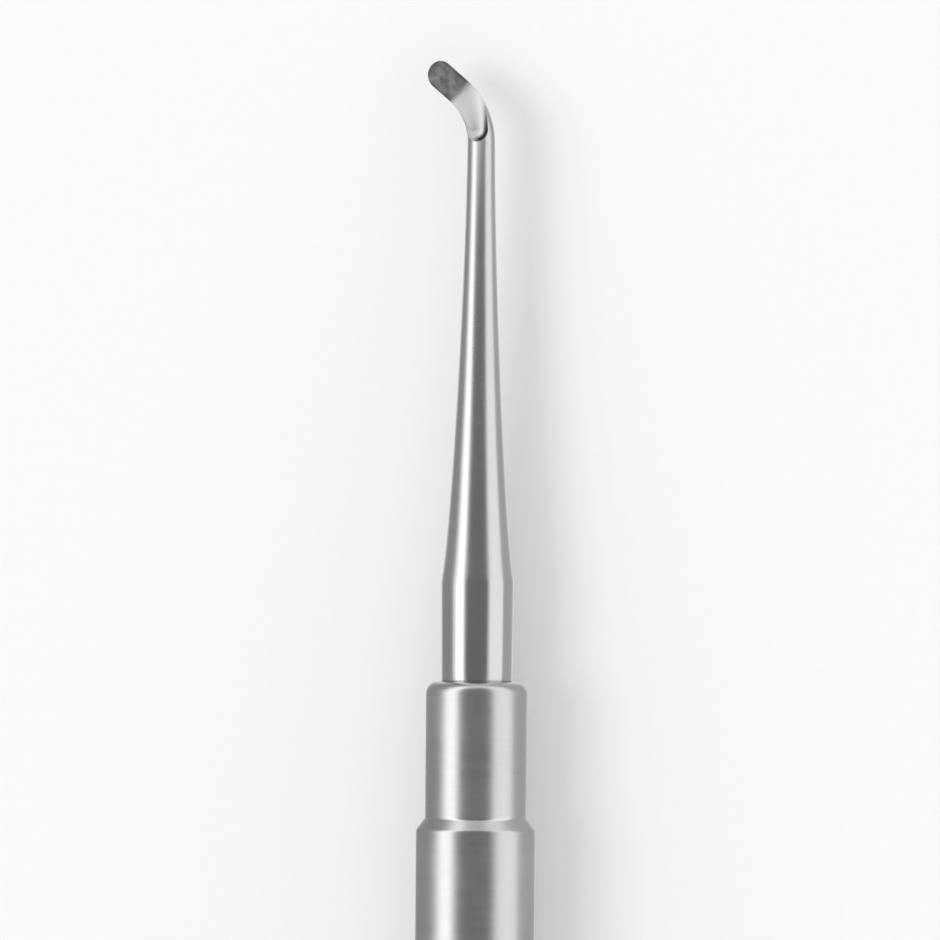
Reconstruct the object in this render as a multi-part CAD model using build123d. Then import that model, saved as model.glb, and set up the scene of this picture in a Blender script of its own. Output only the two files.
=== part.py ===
from build123d import *
import os
from math import cos, radians, sin, sqrt, tan

# Grip: a plain hollow barrel, closed at the rear by the butt plug
grip_diameter = 10.7
grip_length = 87.8
grip_wall = 1.0
joint_chamfer = 0.15

# Nose of the handle: a sloping shoulder, then a slimmer collar
collar_diameter = 9.1
collar_length = 12.3
collar_fillet = 1.1
shoulder_length = 1.08
shoulder_blend = 0.4
tang_relief = 1.0

# Butt plug: a rounded cap on a spigot
cap_length = 3.0
cap_fillet = 2.4
spigot_length = 8.0
spigot_chamfer = 0.5
plug_clearance = 0.01

# Working end: the stem outside the collar and the tang inside it
stem_length = 9.3
stem_diameter = 6.54
stem_foot_diameter = 6.4
stem_edge = 0.12
tang_diameter = 5.0
tang_length = 24.0
tang_chamfer = 0.5
tang_clearance = 0.02

# Shank: one concave taper from the stem down to the slim neck
shank_length = 39.2
shank_root_diameter = 6.44
neck_diameter = 2.5
flare_angle = 10.0
flare_reach = 4.0
neck_angle = 0.3
neck_reach = 13.0

# Bend and blade
bend_angle = 49.0
bend_radius = 6.2
blade_length = 3.3
blade_width = 2.45
inner_corner = 1.35
outer_corner = 1.05
blade_thickness = 0.28

# Hollow-ground face: shallow on the blade, closing round the bend to a ball-nosed scoop in the neck
face_radius = 9.0
face_sink = 0.3
wheel_half_width = 1.7
scoop_radius = 1.2
scoop_floor = 0.25
scoop_bend_radius = 4.6

# How many steps each stretch of the blade is lofted in, and how far cutters overrun
sections = 4
overrun = 0.8

# Places along the instrument, which lies along Y with the middle of its length at zero
turn = radians(bend_angle)
corner_rise = outer_corner * (1 - cos(turn)) + (blade_width / 2 - outer_corner) * sin(turn)
tip_rise = bend_radius * sin(turn) + blade_length * cos(turn) + corner_rise
handle_length = cap_length + grip_length + shoulder_length + collar_length
rear_y = -(handle_length + stem_length + shank_length + tip_rise) / 2
grip_rear_y = rear_y + cap_length
grip_front_y = grip_rear_y + grip_length
collar_rear_y = grip_front_y + shoulder_length
collar_front_y = collar_rear_y + collar_length
shank_root_y = collar_front_y + stem_length
bend_y = shank_root_y + shank_length

# Sizes that follow from the ones above
axis_height = grip_diameter / 2
grip_radius = grip_diameter / 2
collar_radius = collar_diameter / 2
cavity_radius = grip_radius - grip_wall
spigot_radius = cavity_radius - plug_clearance
tang_radius = tang_diameter / 2
bore_radius = tang_radius + tang_clearance
neck_radius = neck_diameter / 2
wheel_top = scoop_floor + wheel_half_width + overrun


def turned(*corners):
    """A solid turned about the instrument's axis from (radius, y, fillet) corners."""
    points = [(radius, y) for radius, y, fillet in corners]
    fillets = [fillet for radius, y, fillet in corners]
    outline = FilletPolyline(*points, radius=fillets, close=True)
    return Pos(0, 0, axis_height) * revolve(make_face(outline), Axis.Y)


def handle():
    """The nose collar, the sloping shoulder and the hollow grip, turned from one bar."""
    cavity_front_y = min(collar_front_y - tang_length - tang_relief, grip_front_y)
    drill_slope = cavity_radius - bore_radius
    return turned(
        (bore_radius, collar_front_y, 0),
        (collar_radius, collar_front_y, collar_fillet),
        (collar_radius, collar_rear_y, shoulder_blend),
        (grip_radius, grip_front_y, shoulder_blend),
        (grip_radius, grip_rear_y + joint_chamfer, 0),
        (grip_radius - joint_chamfer, grip_rear_y, 0),
        (cavity_radius, grip_rear_y, 0),
        (cavity_radius, cavity_front_y - drill_slope, 0),
        (bore_radius, cavity_front_y, 0),
    )


def butt_plug():
    """The rounded cap that closes the grip, with the spigot that is pressed into it."""
    spigot_front_y = grip_rear_y + spigot_length
    return turned(
        (0, rear_y, 0),
        (grip_radius, rear_y, cap_fillet),
        (grip_radius, grip_rear_y - joint_chamfer, 0),
        (grip_radius - joint_chamfer, grip_rear_y, 0),
        (spigot_radius, grip_rear_y, 0),
        (spigot_radius, spigot_front_y - spigot_chamfer, 0),
        (spigot_radius - spigot_chamfer, spigot_front_y, 0),
        (0, spigot_front_y, 0),
    )


def stem_and_tang():
    """The stem, whose rear face seats on the collar, and the tang that goes into its bore."""
    tang_rear_y = collar_front_y - tang_length
    return turned(
        (0, tang_rear_y, 0),
        (tang_radius - tang_chamfer, tang_rear_y, 0),
        (tang_radius, tang_rear_y + tang_chamfer, 0),
        (tang_radius, collar_front_y, 0),
        (stem_foot_diameter / 2, collar_front_y, 0),
        (stem_diameter / 2, shank_root_y - stem_edge, 0),
        (shank_root_diameter / 2, shank_root_y, 0),
        (0, shank_root_y, 0),
    )


def shank():
    """The concave taper: steep where it leaves the stem and nearly parallel at the neck."""
    root_radius = shank_root_diameter / 2
    flare = Bezier(
        (root_radius, shank_root_y),
        (root_radius - flare_reach * tan(radians(flare_angle)), shank_root_y + flare_reach),
        (neck_radius + neck_reach * tan(radians(neck_angle)), bend_y - neck_reach),
        (neck_radius, bend_y),
    )
    ends = Polyline((neck_radius, bend_y), (0, bend_y), (0, shank_root_y), (root_radius, shank_root_y))
    return Pos(0, 0, axis_height) * revolve(make_face(flare + ends), Axis.Y)


def ease(share):
    """A share of the way from 0 to 1 that starts and stops gently."""
    share = min(max(share, 0), 1)
    return share * share * (3 - 2 * share)


def station(radius, distance):
    """The section plane at a distance along a bend of this radius and the straight blade after it.

    Bends of every radius end where the blade begins. The plane's x axis points to the
    outside of the bend and its y axis straight up.
    """
    angle = min(distance / radius, turn)
    outward = Vector(cos(angle), sin(angle), 0)
    forward = Vector(-sin(angle), cos(angle), 0)
    blade_outward = Vector(cos(turn), sin(turn), 0)
    blade_start = blade_outward * bend_radius + Vector(-bend_radius, bend_y, axis_height)
    middle = blade_start + (outward - blade_outward) * radius + forward * (distance - angle * radius)
    return Plane(origin=middle, x_dir=outward, z_dir=-forward)


def lofted(radius, section, breaks):
    """One solid along a bend and its straight, lofted piece by piece between the breaks.

    Section gives the outline at a distance, and a break stands wherever the path or the
    outline changes its rule.
    """
    pieces = []
    for start, end in zip(breaks, breaks[1:]):
        steps = [start + (end - start) * index / sections for index in range(sections + 1)]
        pieces.append(loft([station(radius, step) * section(step) for step in steps]))
    return sum(pieces[1:], pieces[0])


def bent_bar():
    """The neck carried round the bend, sinking with the face and thinning towards the blade's end."""
    bend_length = bend_radius * turn
    path_length = bend_length + blade_length

    def section(distance):
        share = distance / path_length
        half_width = neck_radius + (blade_width / 2 - neck_radius) * share
        thickness = neck_radius + (blade_thickness - neck_radius) * ease(share)
        widest = (0, -face_sink * ease(share))
        crown = EllipticalCenterArc(widest, half_width, neck_radius, 0, arc_size=180)
        back = EllipticalCenterArc(widest, half_width, thickness, 180, arc_size=180)
        return make_face(crown + back)

    return lofted(bend_radius, section, [0, bend_length, path_length])


def hollow(floor, radius):
    """The upright outline of the face cutter: a round bottom of this radius, open to the top."""
    side = min(radius, wheel_half_width)
    side_floor = floor + radius - sqrt(radius * radius - side * side)
    bottom = ThreePointArc((-side, side_floor), (0, floor), (side, side_floor))
    walls = Polyline((side, side_floor), (side, wheel_top), (-side, wheel_top), (-side, side_floor))
    return make_face(bottom + walls)


def face_cutter():
    """What is ground away: the blade's shallow face, a ramp that narrows round the bend, and a ball nose."""
    ramp_length = scoop_bend_radius * turn

    def section(distance):
        share = ease(distance / ramp_length)
        curve = share / face_radius + (1 - share) / scoop_radius
        return hollow(scoop_floor - (scoop_floor + face_sink) * share, 1 / curve)

    nose_plane = station(scoop_bend_radius, 0)
    outer_half = Pos(scoop_radius / 2, wheel_top / 2) * Rectangle(scoop_radius, wheel_top)
    nose_outline = nose_plane * (hollow(scoop_floor, scoop_radius) & outer_half)
    nose = revolve(nose_outline, Axis(nose_plane.origin, nose_plane.y_dir))
    breaks = [0, ramp_length, ramp_length + blade_length + overrun]
    return lofted(scoop_bend_radius, section, breaks) + nose


def corner_cutter():
    """What leaves the end of the blade with two round corners, the inner one rounder."""
    outline = Sketch()
    for side, radius in ((-1, inner_corner), (1, outer_corner)):
        centre = side * (blade_width / 2 - radius)
        reach = side * (blade_width / 2 + overrun)
        middle = Pos((centre + reach) / 2, (overrun - radius) / 2)
        block = middle * Rectangle(abs(reach - centre), radius + overrun)
        outline += block - Pos(centre, -radius) * Circle(radius)
    end_plane = station(bend_radius, bend_radius * turn + blade_length)
    plan = Plane(origin=end_plane.origin, x_dir=end_plane.x_dir, z_dir=(0, 0, 1))
    return extrude(plan * outline, amount=neck_diameter, both=True)


def working_end():
    """The tang, stem, shank, bend and blade, forged in one piece."""
    return stem_and_tang() + shank() + (bent_bar() - face_cutter() - corner_cutter())


parts = {"working_end": working_end(), "handle": handle(), "butt_plug": butt_plug()}
os.makedirs("parts", exist_ok=True)
for name, shape in parts.items():
    export_step(shape, f"parts/{name}.step")
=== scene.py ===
from math import cos, pi, radians, sin, sqrt, tan

import bmesh
import bpy
import numpy as np
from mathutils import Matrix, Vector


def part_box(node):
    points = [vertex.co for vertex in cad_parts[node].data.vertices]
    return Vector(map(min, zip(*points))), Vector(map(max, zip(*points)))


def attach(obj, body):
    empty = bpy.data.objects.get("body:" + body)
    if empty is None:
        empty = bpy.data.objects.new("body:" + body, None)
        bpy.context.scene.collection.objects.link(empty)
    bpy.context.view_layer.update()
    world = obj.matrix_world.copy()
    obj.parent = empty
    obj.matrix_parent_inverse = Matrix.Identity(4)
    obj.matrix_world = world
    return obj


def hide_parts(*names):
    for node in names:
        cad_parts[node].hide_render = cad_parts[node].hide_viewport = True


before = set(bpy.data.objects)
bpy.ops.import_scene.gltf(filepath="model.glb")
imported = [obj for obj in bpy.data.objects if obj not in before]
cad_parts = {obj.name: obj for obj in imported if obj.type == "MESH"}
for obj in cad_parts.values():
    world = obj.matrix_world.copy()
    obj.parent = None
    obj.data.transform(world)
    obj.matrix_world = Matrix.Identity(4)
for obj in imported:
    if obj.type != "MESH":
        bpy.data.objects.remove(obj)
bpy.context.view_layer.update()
scene = bpy.context.scene
mm = 0.001
print("frame loaded:", ", ".join(sorted(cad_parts)))

# Where the CAD pieces sit, in millimetres
handleLow, handleHigh = (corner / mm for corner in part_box("handle"))
plugLow, plugHigh = (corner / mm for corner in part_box("butt_plug"))
endLow, endHigh = (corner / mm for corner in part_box("working_end"))
axisHeight = (handleLow.z + handleHigh.z) / 2


# Shader maths: a wire is a socket that can be added, subtracted and multiplied
class Wire:
    def __init__(self, shade, socket):
        self.shade, self.socket = shade, socket

    def math(self, operation, *others):
        return self.shade.node("ShaderNodeMath", {"operation": operation}, dict(enumerate((self, *others))))

    def __add__(self, other):
        return self.math("ADD", other)

    def __radd__(self, other):
        return self.math("ADD", other)

    def __sub__(self, other):
        return self.math("SUBTRACT", other)

    def __rsub__(self, other):
        return self.shade.node("ShaderNodeMath", {"operation": "SUBTRACT"}, {0: other, 1: self})

    def __mul__(self, other):
        return self.math("MULTIPLY", other)

    def __rmul__(self, other):
        return self.math("MULTIPLY", other)

    def __abs__(self):
        return self.math("ABSOLUTE")


class Shade:
    def __init__(self, tree):
        self.tree = tree
        tree.nodes.clear()

    def node(self, kind, settings=None, sockets=None, out=0):
        made = self.tree.nodes.new(kind)
        for name, value in (settings or {}).items():
            setattr(made, name, value)
        for name, value in (sockets or {}).items():
            if isinstance(value, Wire):
                self.tree.links.new(value.socket, made.inputs[name])
            else:
                made.inputs[name].default_value = value
        return Wire(self, made.outputs[out]) if made.outputs else made

    def stretched(self, vector, scale):                      # a vector multiplied along each axis
        return self.node("ShaderNodeVectorMath", {"operation": "MULTIPLY"}, {0: vector, 1: scale})

    def noise(self, vector, scale, detail=2.0, rough=0.5):   # grey noise, about 0 to 1
        vector = self.stretched(vector, scale)
        sockets = {"Vector": vector, "Scale": 1.0, "Detail": detail, "Roughness": rough}
        return self.node("ShaderNodeTexNoise", {}, sockets)

    def step(self, wire, low, high):                         # 0 below low, 1 above high, smooth between
        sockets = {"Value": wire, "From Min": low, "From Max": high}
        return self.node("ShaderNodeMapRange", {"interpolation_type": "SMOOTHSTEP"}, sockets)

    def mixed(self, share, first, second):                   # two colours, or greys given as numbers
        ends = [c if isinstance(c, Wire) else (c, c, c, 1) for c in (first, second)]
        return self.node("ShaderNodeMix", {"data_type": "RGBA"}, {0: share, 6: ends[0], 7: ends[1]}, out=2)


# Meshes turned about the instrument's axis
def ease(share):
    share = np.clip(share, 0, 1)
    return share * share * (3 - 2 * share)


def rounded(corners, guard=0.05, arcStep=9):
    # Corners are (radius, y, fillet). Gives a closed outline with its fillets as arcs of a few degrees a
    # step, and for each point whether it lies on an outside edge. Guard points, a little way off, keep
    # long faces flat beside a fillet.
    outline, worn = [], []
    count = len(corners)
    for index, (radius, y, fillet) in enumerate(corners):
        here = np.array((radius, y), float)
        before = np.array(corners[index - 1][:2], float) - here
        after = np.array(corners[(index + 1) % count][:2], float) - here
        lengths = np.linalg.norm(before), np.linalg.norm(after)
        before, after = before / lengths[0], after / lengths[1]
        half = np.arccos(np.clip(before @ after, -1, 1)) / 2
        reach = fillet / tan(half) if fillet else 0
        rim = lengths[0] > 4 * guard + reach, lengths[1] > 4 * guard + reach
        if rim[0]:
            outline.append(here + before * (reach + guard))
            worn.append(0)
        if fillet:
            middle = here + (before + after) / np.linalg.norm(before + after) * fillet / sin(half)
            start, stop = here + before * reach - middle, here + after * reach - middle
            turnAngle = pi - 2 * half
            side = np.sign(start[0] * stop[1] - start[1] * stop[0])
            steps = max(4, int(turnAngle / radians(arcStep)))
            for step in range(steps + 1):
                angle = side * turnAngle * step / steps
                spin = np.array(((cos(angle), -sin(angle)), (sin(angle), cos(angle))))
                outline.append(middle + spin @ start)
                worn.append(1 if side > 0 else 0)
        else:
            outline.append(here)
            worn.append(0)
        if rim[1]:
            outline.append(here + after * (reach + guard))
            worn.append(0)
    return np.array(outline), np.array(worn, float)


def finishMesh(name, points, faces, attributes, material, sharpAngle=32):
    # Points are in millimetres. Attributes hold three values a point, for the material to read.
    mesh = bpy.data.meshes.new(name)
    mesh.from_pydata((points * mm).tolist(), [], faces)
    for key, values in attributes.items():
        layer = mesh.attributes.new(key, "FLOAT_VECTOR", "POINT")
        layer.data.foreach_set("vector", np.asarray(values, np.float32).ravel())
    work = bmesh.new()
    work.from_mesh(mesh)
    bmesh.ops.remove_doubles(work, verts=work.verts, dist=2e-8)
    bmesh.ops.dissolve_degenerate(work, edges=work.edges, dist=1e-8)
    bmesh.ops.recalc_face_normals(work, faces=work.faces)
    work.to_mesh(mesh)
    work.free()
    mesh.shade_smooth()
    mesh.set_sharp_from_angle(angle=radians(sharpAngle))
    piece = bpy.data.objects.new(name, mesh)
    scene.collection.objects.link(piece)
    mesh.materials.append(material)
    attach(piece, "root")
    print(f"{name}: {len(mesh.vertices)} points, {len(mesh.polygons)} faces")
    return piece


def turnedPiece(name, corners, sides, material):
    outline, worn = rounded(corners)
    angles = np.arange(sides) * 2 * pi / sides
    rings = [np.stack((radius * np.sin(angles), np.full(sides, y), radius * np.cos(angles) + axisHeight), 1)
             for radius, y in outline]
    points = np.concatenate(rings)
    count = len(outline)
    faces = []
    for ring in range(count):
        following = (ring + 1) % count
        if outline[ring][0] == 0 and outline[following][0] == 0:
            continue                                         # the outline's run along the axis has no faces
        for side in range(sides):
            beside = (side + 1) % sides
            faces.append((ring * sides + side, ring * sides + beside,
                          following * sides + beside, following * sides + side))
    place = np.zeros((len(points), 3))
    place[:, 2] = np.repeat(worn, sides)
    return finishMesh(name, points, faces, {"place": place}, material)


# Steel finishes
satin = dict(
    grey=0.62, greySpread=0.12,          # the steel's colour, and how far it wanders
    roughness=0.31, roughSpread=0.13,
    lineHeight=0.0022,                   # turning lines, in millimetres
    speckDepth=0.08,                     # how much darker the few specks are
    wornRoughness=0.17, wornGrey=0.68,   # where hands have polished the edges
)


def satinSteel():
    material = bpy.data.materials.new("satinSteel")
    material.use_nodes = True
    shade = Shade(material.node_tree)
    spot = shade.node("ShaderNodeTexCoord", out=3)
    spot = shade.stretched(spot, (1 / mm,) * 3)
    # noise scales are features to a millimetre, along x, y and z: turning lines run round the axis
    fineLines = shade.noise(spot, (0.30, 11.0, 0.30), 3, 0.6)
    wideLines = shade.noise(spot, (0.08, 1.4, 0.08), 3, 0.7)
    clouds = shade.noise(spot, (0.22, 0.16, 0.22), 3, 0.55)
    specks = shade.step(shade.noise(spot, (5.0, 5.0, 5.0), 2, 0.6), 0.70, 0.78)
    place = shade.node("ShaderNodeAttribute", {"attribute_name": "place"}, out=1)
    worn = shade.node("ShaderNodeSeparateXYZ", {}, {0: place}, out=2)
    wear = worn * shade.step(clouds, 0.3, 0.7)
    lines = fineLines * 0.6 + wideLines * 0.4
    grey = satin["grey"] + (lines + clouds - 1) * satin["greySpread"] - specks * satin["speckDepth"]
    rough = satin["roughness"] + (wideLines + clouds - 1) * satin["roughSpread"]
    colour = shade.mixed(wear, shade.mixed(grey, 0.0, 1.0), satin["wornGrey"])
    rough = rough + (satin["wornRoughness"] - rough) * wear
    bump = shade.node("ShaderNodeBump", {}, {
        "Strength": 1.0, "Distance": satin["lineHeight"] * mm, "Height": lines})
    steel = shade.node("ShaderNodeBsdfPrincipled", {}, {
        "Base Color": colour, "Metallic": 1.0, "Roughness": rough, "Normal": bump})
    shade.node("ShaderNodeOutputMaterial", {}, {"Surface": steel})
    return material


polished = dict(
    grey=0.63, greySpread=0.05,
    stemRoughness=0.15, shankRoughness=0.23, neckRoughness=0.30, roughSpread=0.07,
    lineHeight=0.0016,                   # polishing lines, in millimetres
    groundRoughness=0.50, grainHeight=1.6, paintedShadeGrey=0.03,            # the ground hollow, and the painted shade that darkens its steep wall
    faceDark=0.155, faceLight=0.30, faceRoughness=0.45,                # the matte, mottled end of the blade
    faceRim=0.10, rimShare=0.6, grainSpread=0.08, mottleRoughness=0.2,
)


def polishedSteel(rootY, bendY, faceStart, faceEnd, rim):
    p = polished
    material = bpy.data.materials.new("polishedSteel")
    material.use_nodes = True
    shade = Shade(material.node_tree)
    spot = shade.node("ShaderNodeTexCoord", out=3)
    spot = shade.stretched(spot, (1 / mm,) * 3)
    # each point's place on its section, its distance along the path and whether it is ground
    place = shade.node("ShaderNodeAttribute", {"attribute_name": "place"}, out=1)
    across = shade.node("ShaderNodeSeparateXYZ", {}, {0: place}, out=0)
    along = shade.node("ShaderNodeSeparateXYZ", {}, {0: place}, out=1)
    ground = shade.node("ShaderNodeSeparateXYZ", {}, {0: place}, out=2)
    # the painted shade on the scoop's steep outer wall, from 0 to 1
    paintedShade = shade.node("ShaderNodeAttribute", {"attribute_name": "paintedShade"}, out=2)
    distanceY = shade.node("ShaderNodeSeparateXYZ", {}, {0: spot}, out=1)
    # lines run round the stem and along the shank
    drawn = shade.noise(spot, (9.0, 0.25, 9.0), 3, 0.6)
    turnedLines = shade.noise(spot, (0.3, 12.0, 0.3), 3, 0.6)
    onShank = shade.step(distanceY, rootY - 0.4, rootY + 0.4)
    clouds = shade.noise(spot, (0.5, 0.14, 0.5), 3, 0.55)
    lines = turnedLines + (drawn - turnedLines) * onShank
    # the blade's matte end: mottled, darker round its rim, and ending across the blade where the bend ends
    mottle = shade.noise(place, (1.35, 1.25, 0.0), 1, 0.5)
    grain = shade.noise(place, (13.0, 7.0, 0.0), 3, 0.6)
    onFace = shade.step(along + (mottle - 0.5) * 0.5, faceStart - 0.7, faceStart + 0.1) * ground
    nearRim = shade.step(abs(across), rim - 0.42, rim - 0.04)
    nearRim = nearRim.math("MAXIMUM", shade.step(along, faceEnd - 0.75, faceEnd - 0.1))
    faceGrey = p["faceDark"] + shade.step(mottle, 0.25, 0.75) * (p["faceLight"] - p["faceDark"])
    faceGrey = faceGrey + nearRim * p["rimShare"] * (p["faceRim"] - faceGrey)
    faceGrey = faceGrey + (grain - 0.5) * p["grainSpread"]
    grey = p["grey"] + (lines + clouds - 1) * p["greySpread"]
    grey = grey + (faceGrey - grey) * onFace
    # painted shade: the scoop's steep outer wall is darkened towards near black
    grey = grey + (p["paintedShadeGrey"] - grey) * paintedShade
    nearNeck = shade.step(distanceY, rootY, bendY - 4)
    shankRough = p["shankRoughness"] + nearNeck * (p["neckRoughness"] - p["shankRoughness"])
    rough = p["stemRoughness"] + onShank * (shankRough - p["stemRoughness"])
    rough = rough + (clouds + drawn - 1) * p["roughSpread"]
    rough = rough + (p["groundRoughness"] - rough) * ground
    rough = rough + (p["faceRoughness"] + (mottle - 0.5) * p["mottleRoughness"] - rough) * onFace
    height = lines + (grain * p["grainHeight"] - lines) * ground
    bump = shade.node("ShaderNodeBump", {}, {
        "Strength": 1.0, "Distance": p["lineHeight"] * mm, "Height": height})
    steel = shade.node("ShaderNodeBsdfPrincipled", {}, {
        "Base Color": shade.mixed(grey, 0.0, 1.0), "Metallic": 1.0, "Roughness": rough, "Normal": bump})
    shade.node("ShaderNodeOutputMaterial", {}, {"Surface": steel})
    return material


satinFinish = satinSteel()

# Handle: collar, shoulder and hollow grip
handle = dict(
    gripWall=1.0, jointChamfer=0.15, collarDiameter=9.1, collarLength=12.3, collarFillet=1.1,
    shoulderLength=1.08, shoulderBlend=0.4, boreDiameter=5.04, tangLength=24.0, relief=1.0,
    edge=0.03, sides=192,
)


def makeHandle():
    h = handle
    rear, front = handleLow.y, handleHigh.y
    gripRadius = (handleHigh.x - handleLow.x) / 2
    collarRadius, bore = h["collarDiameter"] / 2, h["boreDiameter"] / 2
    cavity = gripRadius - h["gripWall"]
    collarRear = front - h["collarLength"]
    gripFront = collarRear - h["shoulderLength"]
    cavityFront = min(front - h["tangLength"] - h["relief"], gripFront)
    chamfer = h["jointChamfer"]
    corners = [
        (bore, front, 0),
        (collarRadius, front, h["collarFillet"]),
        (collarRadius, collarRear, h["shoulderBlend"]),
        (gripRadius, gripFront, h["shoulderBlend"]),
        (gripRadius, rear + chamfer, h["edge"]),
        (gripRadius - chamfer, rear, h["edge"]),
        (cavity, rear, 0),
        (cavity, cavityFront - (cavity - bore), 0),
        (bore, cavityFront, 0),
    ]
    piece = turnedPiece("gripAndCollar", corners, h["sides"], satinFinish)
    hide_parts("handle")
    return gripRadius, cavity


gripRadius, cavityRadius = makeHandle()

# Butt plug: a rounded cap on a spigot
plug = dict(capFillet=2.4, jointChamfer=0.15, spigotChamfer=0.5, clearance=0.01, edge=0.03, sides=192)


def makePlug():
    p = plug
    rear, joint, front = plugLow.y, handleLow.y, plugHigh.y
    spigot = cavityRadius - p["clearance"]
    corners = [
        (0, rear, 0),
        (gripRadius, rear, p["capFillet"]),
        (gripRadius, joint - p["jointChamfer"], p["edge"]),
        (gripRadius - p["jointChamfer"], joint, p["edge"]),
        (spigot, joint, 0),
        (spigot, front - p["spigotChamfer"], 0),
        (spigot - p["spigotChamfer"], front, 0),
        (0, front, 0),
    ]
    piece = turnedPiece("buttPlug", corners, p["sides"], satinFinish)
    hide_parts("butt_plug")


makePlug()

# Working end: tang, stem, shank, bend and hollow-ground blade in one skin
blade = dict(
    tangDiameter=5.0, tangChamfer=0.5, stemFootDiameter=6.4, stemFootRound=0.05, stemDiameter=6.54,
    stemLength=9.3, blend=0.75, rootDiameter=6.44, neckDiameter=2.5,
    flareAngle=10.0, flareReach=4.0, neckAngle=0.3, neckReach=13.0,
    bendAngle=49.0, bendRadius=6.2, length=3.3, width=2.45, thickness=0.28,
    innerCorner=1.35, outerCorner=1.05,
    faceRadius=9.0, faceSink=0.3, wheelHalfWidth=1.7, scoopRadius=1.2, scoopFloor=0.25, scoopBendRadius=4.6,
    edge=0.035,                                              # the fine round on the ground edges
)
# Painted shade in the scoop's steep outer wall, darkening its colour: from a share of the wheel's radius,
# from a bearing round the nose in degrees, and fading by a share along the ramp
wallPaintedShade = dict(low=0.50, high=0.80, bearingLow=-104, bearingHigh=-64, fade=0.62, fadeLow=-0.2, fadeHigh=1.5)
# How finely the skin is divided: points in each part of a section, and sections along each stretch
fineness = dict(back=46, side=24, edge=5, top=40, step=0.035, stem=10, blend=14, flare=120, end=40,
                arc=120, samples=200, rimSamples=401, touchSamples=2001, halvings=40)
# An edge's round is at most these shares of the hollow's width and of a side's length
edgeLimit = dict(hollow=0.3, side=0.45)


def ellipseHeight(across, halfWidth, height):
    return height * np.sqrt(np.clip(1 - (across / halfWidth) ** 2, 0, 1))


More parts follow.
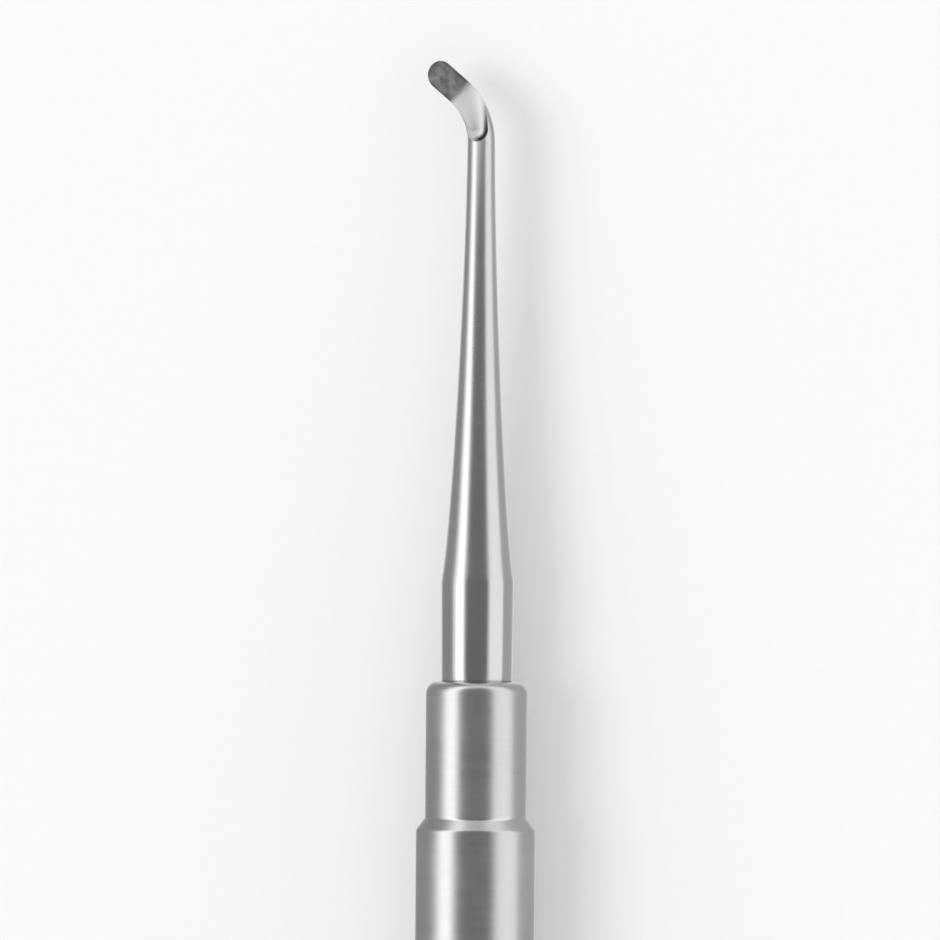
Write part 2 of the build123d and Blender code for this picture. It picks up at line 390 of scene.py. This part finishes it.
class BladeForm:
    # Where the bend and the blade lie in plan, their sections, and how the grinding wheel ran over them.
    # Heights are above the instrument's axis, and distances run along the middle of the bend and blade.
    def __init__(self):
        b = blade
        turn = self.turn = radians(b["bendAngle"])
        self.neck = b["neckDiameter"] / 2
        self.forward = np.array((-sin(turn), cos(turn)))     # along the blade, in plan
        self.outward = np.array((cos(turn), sin(turn)))      # across it, to the outside of the bend
        cornerRise = b["outerCorner"] * (1 - cos(turn)) + (b["width"] / 2 - b["outerCorner"]) * sin(turn)
        self.bendY = endHigh.y - b["bendRadius"] * sin(turn) - b["length"] * cos(turn) - cornerRise
        self.bendLength = b["bendRadius"] * turn
        self.pathLength = self.bendLength + b["length"]
        self.rampLength = b["scoopBendRadius"] * turn
        self.bendCentre = np.array((-b["bendRadius"], self.bendY))
        self.bladeStart = self.bendCentre + self.outward * b["bendRadius"]
        self.scoopCentre = self.bladeStart - self.outward * b["scoopBendRadius"]
        self.noseSpot = self.scoopCentre + np.array((b["scoopBendRadius"], 0))

    def wheelAt(self, plan):
        # The wheel over points in plan: its lowest height, its radius, how far the points lie to the
        # outside of its path, and its travel from the nose.
        b = blade
        offset = plan - self.scoopCentre
        angle = np.arctan2(offset[:, 1], offset[:, 0])
        along = (plan - self.bladeStart) @ self.forward
        onBlade = along > 0
        side = np.where(onBlade, (plan - self.bladeStart) @ self.outward,
                        np.linalg.norm(offset, axis=1) - b["scoopBendRadius"])
        travel = np.where(onBlade, along + self.rampLength, b["scoopBendRadius"] * angle)
        share = ease(travel / self.rampLength)
        radius = 1 / (share / b["faceRadius"] + (1 - share) / b["scoopRadius"])
        floor = b["scoopFloor"] - (b["scoopFloor"] + b["faceSink"]) * share
        side = np.where(offset[:, 1] < 0, np.linalg.norm(plan - self.noseSpot, axis=1), side)
        return floor, radius, side, travel

    def cutHeight(self, plan):
        # Height of the ground hollow, infinite where the wheel doesn't reach
        floor, radius, side, travel = self.wheelAt(plan)
        height = floor + radius - np.sqrt(np.clip(radius ** 2 - side ** 2, 0, None))
        return np.where(np.abs(side) < np.minimum(radius, blade["wheelHalfWidth"]), height, np.inf)

    def paintedShadeAt(self, plan):
        # How much painted shade darkens the colour of the scoop's steep outer wall, from 0 to 1
        w = wallPaintedShade
        floor, radius, side, travel = self.wheelAt(plan)
        fromNose = plan - self.noseSpot
        bearing = np.degrees(np.arctan2(fromNose[:, 1], fromNose[:, 0]))
        steep = ease((side / radius - w["low"]) / (w["high"] - w["low"]))
        turned = ease((bearing - w["bearingLow"]) / (w["bearingHigh"] - w["bearingLow"]))
        faded = w["fade"] * ease((travel - w["fadeLow"]) / (w["fadeHigh"] - w["fadeLow"]))
        return steep * turned * (1 - faded)

    def stationAt(self, distance):
        # Middle of a section in plan, and the direction to the outside of the bend
        angle = min(distance / blade["bendRadius"], self.turn)
        away = np.array((cos(angle), sin(angle)))
        middle = self.bendCentre + away * blade["bendRadius"]
        return middle + self.forward * max(distance - self.bendLength, 0), away

    def sizesAt(self, distance):
        # A section's half width, its rise and depth from its widest level, and that level
        share = distance / self.pathLength
        halfWidth = self.neck + (blade["width"] / 2 - self.neck) * share
        depth = self.neck + (blade["thickness"] - self.neck) * ease(share)
        return halfWidth, self.neck, depth, -blade["faceSink"] * ease(share)

    def clearance(self, distance, across):
        # How far the hollow lies under the crown
        halfWidth, crown, depth, level = self.sizesAt(distance)
        middle, away = self.stationAt(distance)
        crownTop = level + ellipseHeight(across, halfWidth, crown)
        return crownTop - self.cutHeight(middle + across[:, None] * away)

    def rims(self, distance, fallback):
        # Where the hollow meets the crown on the left and on the right
        halfWidth = self.sizesAt(distance)[0]
        across = np.linspace(-halfWidth, halfWidth, fineness["rimSamples"])
        gap = self.clearance(distance, across)
        if gap.max() <= 1e-6:
            return fallback, fallback
        ends = []
        for limit in (-halfWidth, halfWidth):
            low, high = across[gap.argmax()], limit
            for _ in range(fineness["halvings"]):
                middle = (low + high) / 2
                if self.clearance(distance, np.array([middle]))[0] > 0:
                    low = middle
                else:
                    high = middle
            ends.append(low)
        return ends

    def firstTouch(self):
        # The first section that the wheel touches, and where across it
        low, high = 0.0, self.bendLength
        across = np.linspace(-self.neck, self.neck, fineness["touchSamples"])
        for _ in range(fineness["halvings"]):
            middle = (low + high) / 2
            low, high = (low, middle) if self.clearance(middle, across).max() > 0 else (middle, high)
        return high, across[self.clearance(high, across).argmax()]

    def clipsAt(self, distance, halfWidth):
        # How far the blade's round corners leave a section on the right and on the left
        clips = []
        for corner in (blade["outerCorner"], blade["innerCorner"]):
            over = max(distance - self.pathLength + corner, 0)
            reach = blade["width"] / 2 - corner + sqrt(max(corner ** 2 - over ** 2, 0))
            clips.append(min(halfWidth, reach))
        return clips


def lineLength(line):
    return np.linalg.norm(np.diff(line, axis=0), axis=1).sum()


def resampled(line, count, first=0.0, last=0.0):
    # Evenly spaced points along a line, short of its ends by the lengths first and last
    steps = np.linalg.norm(np.diff(line, axis=0), axis=1)
    runs = np.concatenate(([0], np.cumsum(steps)))
    wanted = np.linspace(first, runs[-1] - last, count)
    return np.stack([np.interp(wanted, runs, line[:, axis]) for axis in range(2)], 1)


def softCorner(start, corner, stop):
    # The points between start and stop, round a corner
    share = (np.arange(fineness["edge"]) + 1)[:, None] / (fineness["edge"] + 1)
    return start * (1 - share) ** 2 + corner * 2 * share * (1 - share) + stop * share ** 2


def section(halfWidth, crown, depth, level, rims, clips, top, drop=0.0):
    # One section as (across, height) points: the back, the right side, the hollow and the left side.
    # Rims are where the hollow ends, and the blade's round corners clip the section, both given right
    # and left. Top gives the upper surface's height, and drop rounds the blade's end.
    starts = [np.arccos(min(clip / halfWidth, 1)) for clip in clips]
    backAngles = np.linspace(starts[1] - pi, -starts[0], fineness["back"])
    back = np.stack((halfWidth * np.cos(backAngles), level + depth * np.sin(backAngles)), 1)
    back[:, 1] = np.minimum(back[:, 1] + drop, level)
    rims = min(rims[0], clips[0]), max(rims[1], -clips[1])
    sides = []
    for sign, rim, clip, start, foot in zip((1, -1), rims, clips, starts, (back[-1], back[0])):
        stop = max(start, np.arccos(np.clip(sign * rim / halfWidth, -1, 1)))
        angles = np.linspace(start, stop, fineness["arc"])
        arc = np.stack((sign * halfWidth * np.cos(angles), level + crown * np.sin(angles)), 1)
        if sign * rim >= clip - 1e-9:                        # a rounded corner of the blade: an upright wall
            arc = np.array([(sign * clip, top(np.array([sign * clip]))[0] - drop)] * 2)
        sides.append(np.concatenate((foot[None], arc)))
    across = np.linspace(rims[0], rims[1], fineness["samples"])
    hollow = np.stack((across, top(across) - drop), 1)
    sides[0][-1] = hollow[0]
    sides[1][-1] = hollow[-1]
    room = edgeLimit["side"] * min(lineLength(sides[0]), lineLength(sides[1]))
    edge = min(blade["edge"], edgeLimit["hollow"] * lineLength(hollow), room)
    rightSide = resampled(sides[0], fineness["side"], last=edge)
    leftSide = resampled(sides[1], fineness["side"], last=edge)
    middle = resampled(hollow, fineness["top"], first=edge, last=edge)
    rightEdge = softCorner(rightSide[-1], hollow[0], middle[0])
    leftEdge = softCorner(middle[-1], hollow[-1], leftSide[-1])
    return np.concatenate((back[1:-1], rightSide, rightEdge, middle, leftEdge, leftSide[::-1]))


def turnedOutline(form):
    # The tang, stem and shank as (radius, y) pairs, from the rear
    b = blade
    front = handleHigh.y
    rootY = front + b["stemLength"]
    tang, root, neck = b["tangDiameter"] / 2, b["rootDiameter"] / 2, form.neck
    tangRear = endLow.y
    foot, stem, footRound = b["stemFootDiameter"] / 2, b["stemDiameter"] / 2, b["stemFootRound"]
    outline = [
        (0, tangRear),
        (tang - b["tangChamfer"], tangRear),
        (tang, tangRear + b["tangChamfer"]),
        (tang, front),
        (foot - footRound, front),
        (foot - 0.3 * footRound, front + 0.3 * footRound),
        (foot, front + footRound),
    ]
    hands = np.array((
        (root, rootY),
        (root - b["flareReach"] * tan(radians(b["flareAngle"])), rootY + b["flareReach"]),
        (neck + b["neckReach"] * tan(radians(b["neckAngle"])), form.bendY - b["neckReach"]),
        (neck, form.bendY),
    ))

    def flare(share):
        weights = ((1 - share) ** 3, 3 * share * (1 - share) ** 2, 3 * share ** 2 * (1 - share), share ** 3)
        return np.array(weights) @ hands

    flareStart = 0.012
    first, following = flare(flareStart), flare(flareStart + 0.001)
    slope = (following[0] - first[0]) / (following[1] - first[1])
    stemTop = rootY - b["blend"]
    stemFoot = front + footRound
    for share in np.linspace(0, 1, fineness["stem"])[1:]:
        outline.append((foot + (stem - foot) * share, stemFoot + (stemTop - stemFoot) * share))
    stretch = first[1] - stemTop
    for share in np.linspace(0, 1, fineness["blend"])[1:-1]:  # from the straight stem into the flare's slope
        radius = (1 + 2 * share) * (1 - share) ** 2 * stem + share ** 2 * (3 - 2 * share) * first[0]
        outline.append((radius + share ** 2 * (share - 1) * slope * stretch, stemTop + stretch * share))
    outline += [tuple(flare(share)) for share in np.linspace(flareStart, 1, fineness["flare"])[:-1]]
    return outline


def sectionPlaces(form, touch):
    # Distances of the sections along the bend and blade, closest where the wheel enters and at the end
    roundStart = form.pathLength - max(blade["innerCorner"], blade["outerCorner"])
    entry = touch + 0.5 * np.linspace(0, 1, 26)[1:] ** 1.6
    steps = int((roundStart - entry[-1]) / fineness["step"])
    angles = np.linspace(0, pi / 2, fineness["end"])[1:]
    places = list(np.linspace(0, touch, 6)) + list(entry)
    places += list(np.linspace(entry[-1], roundStart, steps))[1:]
    return places + [roundStart + (form.pathLength - roundStart) * sin(angle) for angle in angles]


def makeWorkingEnd():
    form = BladeForm()
    touch, touchAcross = form.firstTouch()
    plainRims = (touchAcross, touchAcross)
    # Which of a section's points are ground, from 0 to 1
    intoGround = np.linspace(0.2, 1, fineness["edge"])
    groundRow = np.concatenate((
        np.zeros(fineness["back"] - 2 + fineness["side"]), intoGround,
        np.ones(fineness["top"]), intoGround[::-1], np.zeros(fineness["side"])))
    count = len(groundRow)
    points, place, paintedShade = [], [], []
    for radius, y in turnedOutline(form):
        if radius == 0:
            row = np.zeros((count, 2))
        else:
            split = touchAcross * radius / form.neck
            row = section(radius, radius, radius, 0, (split, split), (radius, radius),
                          lambda across, r=radius: ellipseHeight(across, r, r))
        points.append(np.stack((row[:, 0], np.full(count, y), row[:, 1] + axisHeight), 1))
        place.append(np.stack((row[:, 0], np.full(count, y - form.bendY), np.zeros(count)), 1))
        paintedShade.append(np.zeros(count))

    for distance in sectionPlaces(form, touch):
        halfWidth, crown, depth, level = form.sizesAt(distance)
        middle, away = form.stationAt(distance)
        left, right = form.rims(distance, touchAcross) if distance > touch else plainRims
        clips = form.clipsAt(distance, halfWidth)

        def top(across):
            crownTop = level + ellipseHeight(across, halfWidth, crown)
            return np.minimum(crownTop, form.cutHeight(middle + across[:, None] * away))

        short = max(0.0, distance - (form.pathLength - blade["edge"]))
        drop = blade["edge"] - sqrt(max(blade["edge"] ** 2 - short ** 2, 0))
        row = section(halfWidth, crown, depth, level, (right, left), clips, top, drop)
        plan = middle + row[:, :1] * away
        ground = groundRow * (1 if distance > touch else 0)
        points.append(np.column_stack((plan, row[:, 1] + axisHeight)))
        place.append(np.stack((row[:, 0], np.full(count, distance), ground), 1))
        # the painted shade of the scoop's steep outer wall, point by point
        paintedShade.append(ground * form.paintedShadeAt(plan))

    faces = []
    for index in range(len(points) - 1):
        for side in range(count):
            beside = (side + 1) % count
            faces.append((index * count + side, index * count + beside,
                          (index + 1) * count + beside, (index + 1) * count + side))
    faces.append(tuple(range((len(points) - 1) * count, len(points) * count)))
    rootY = handleHigh.y + blade["stemLength"]
    finish = polishedSteel(rootY, form.bendY, form.bendLength, form.pathLength, blade["width"] / 2)
    paintedShade = np.concatenate(paintedShade)
    marks = {"place": np.concatenate(place), "paintedShade": np.stack((paintedShade,) * 3, 1)}
    piece = finishMesh("workingEnd", np.concatenate(points), faces, marks, finish, sharpAngle=25)
    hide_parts("working_end")


makeWorkingEnd()

# Camera: straight above, the tip up the picture
camera = dict(
    lens=425.0, sensor=36.0, frameWidth=84.6,          # a long lens, and the width seen at the axis
    middle=(-0.77, 43.19), lean=0.49,                  # where it looks, and the picture's turn in degrees
)


def makeCamera():
    c = camera
    lens = bpy.data.cameras.new("camera")
    lens.lens, lens.sensor_width = c["lens"], c["sensor"]
    lens.clip_start, lens.clip_end = 0.05, 50.0
    holder = bpy.data.objects.new("camera", lens)
    distance = c["frameWidth"] * c["lens"] / c["sensor"]
    holder.location = (c["middle"][0] * mm, c["middle"][1] * mm, (axisHeight + distance) * mm)
    holder.rotation_euler = (0, 0, radians(c["lean"]))
    scene.collection.objects.link(holder)
    scene.camera = holder
    print("camera made")


makeCamera()

# Floor, surroundings, lamps and cards
studio = dict(
    floorGrey=0.93, floorSize=8.0,                     # metres
    pale=0.95, fillLevel=0.81,                         # the surroundings as seen, and as light
    sunLevel=0.9, sunAngle=30, sunTilt=(0, -42, 0),
    cardDistance=0.60,
    softbox=dict(low=-77, high=-36, level=1.75),
    rightCard=dict(low=32, high=96, level=1.18),
    cardLength=1.5, cardFade=0.2,                      # the share of a card's width that fades at each edge
    dark=dict(low=-43, high=40, level=0.195, height=35.0, start=-400.0, endLeft=67.5, endRight=82.5),
    # how the polish sees the floor: darker on both sides, between two distances from the axis
    dim=dict(left=0.34, right=0.50, start=(3.0, 9.0), end=(110.0, 190.0)),
    strips=dict(distance=200.0, left=(24.0, 0.34), right=(8.0, 0.55)),   # low cards: height and level
)


def sheet(name, corners, material, seen=True):
    mesh = bpy.data.meshes.new(name)
    mesh.from_pydata(corners, [], [(0, 1, 2, 3)])
    mesh.materials.append(material)
    panel = bpy.data.objects.new(name, mesh)
    scene.collection.objects.link(panel)
    if not seen:                                       # a card that only the polish sees
        panel.visible_camera = False
        panel.visible_diffuse = False
        panel.visible_shadow = False


def glow(name, level, edge=0.0):
    # A card's light. Towards its long edges it fades into the pale surroundings.
    material = bpy.data.materials.new(name)
    material.use_nodes = True
    shade = Shade(material.node_tree)
    top = max(level, studio["pale"])
    colour = (level / top,) * 3 + (1,)
    if edge:
        across = shade.node("ShaderNodeTexCoord", out=0)
        across = shade.node("ShaderNodeSeparateXYZ", {}, {0: across}, out=0)
        inside = shade.step(0.5 - abs(across - 0.5), 0.0, edge)
        colour = shade.mixed(inside, studio["pale"] / top, level / top)
    light = shade.node("ShaderNodeEmission", {}, {"Color": colour, "Strength": top})
    shade.node("ShaderNodeOutputMaterial", {}, {"Surface": light})
    return material


def makeStudio():
    s = studio
    paper = bpy.data.materials.new("paper")
    paper.use_nodes = True
    shade = Shade(paper.node_tree)
    spot = shade.node("ShaderNodeTexCoord", out=3)
    fibres = shade.noise(spot, (900.0, 900.0, 900.0), 3)
    tone = shade.mixed(fibres, s["floorGrey"] - 0.01, s["floorGrey"] + 0.01)
    surface = shade.node("ShaderNodeBsdfPrincipled", {}, {
        "Base Color": tone, "Roughness": 0.9, "Specular IOR Level": 0.1})
    acrossAxis = shade.node("ShaderNodeSeparateXYZ", {}, {0: spot}, out=0) * (1 / mm)
    beside = abs(acrossAxis)
    dim = s["dim"]
    band = shade.step(beside, *dim["start"]) * (1 - shade.step(beside, *dim["end"]))
    level = dim["left"] + shade.step(acrossAxis, -1.0, 1.0) * (dim["right"] - dim["left"])
    level = s["pale"] + band * (level - s["pale"])
    mirrored = shade.node("ShaderNodeEmission", {}, {"Color": shade.mixed(level, 0.0, 1.0), "Strength": 1.0})
    glossy = shade.node("ShaderNodeLightPath", out=3)
    both = shade.node("ShaderNodeMixShader", {}, {0: glossy, 1: surface, 2: mirrored})
    shade.node("ShaderNodeOutputMaterial", {}, {"Surface": both})
    half = s["floorSize"] / 2
    sheet("floor", [(-half, -half, 0), (half, -half, 0), (half, half, 0), (-half, half, 0)], paper)

    world = bpy.data.worlds.new("surroundings")
    scene.world = world
    world.use_nodes = True
    shade = Shade(world.node_tree)
    seen = shade.node("ShaderNodeLightPath", out=0)
    for ray in (3, 6):                                 # glossy and transmission rays
        seen = seen.math("MAXIMUM", shade.node("ShaderNodeLightPath", out=ray))
    fill = shade.node("ShaderNodeBackground", {}, {"Color": (1, 1, 1, 1), "Strength": s["fillLevel"]})
    shown = shade.node("ShaderNodeBackground", {}, {"Color": (1, 1, 1, 1), "Strength": s["pale"]})
    both = shade.node("ShaderNodeMixShader", {}, {0: seen, 1: fill, 2: shown})
    shade.node("ShaderNodeOutputWorld", {}, {"Surface": both})

    sun = bpy.data.lights.new("sun", "SUN")
    sun.energy, sun.angle = s["sunLevel"], radians(s["sunAngle"])
    holder = bpy.data.objects.new("sun", sun)
    holder.rotation_euler = [radians(angle) for angle in s["sunTilt"]]
    holder.visible_glossy = False
    scene.collection.objects.link(holder)

    away, end = s["cardDistance"], s["cardLength"]
    for name in ("softbox", "rightCard"):
        card = s[name]
        (x0, z0), (x1, z1) = [(away * sin(radians(card[edge])), away * cos(radians(card[edge])))
                              for edge in ("low", "high")]
        sheet(name, [(x0, -end, z0), (x1, -end, z1), (x1, end, z1), (x0, end, z0)],
              glow(name + "Glow", card["level"], s["cardFade"]), seen=False)

    dark = s["dark"]
    rise = dark["height"] - axisHeight
    left, right = (rise * tan(radians(dark[side])) for side in ("low", "high"))
    corners = ((left, dark["start"]), (right, dark["start"]),
               (right, dark["endRight"]), (left, dark["endLeft"]))
    sheet("darkCard", [(x * mm, y * mm, dark["height"] * mm) for x, y in corners],
          glow("darkGlow", dark["level"], s["cardFade"]), seen=False)

    strips = s["strips"]
    for side, name in ((-1, "left"), (1, "right")):
        height, level = strips[name]
        x = side * strips["distance"] * mm
        sheet(name + "Strip", [(x, -end, 0), (x, end, 0), (x, end, height * mm), (x, -end, height * mm)],
              glow(name + "Glow", level), seen=False)
    print("studio made")


makeStudio()
scene.view_settings.view_transform = "Standard"
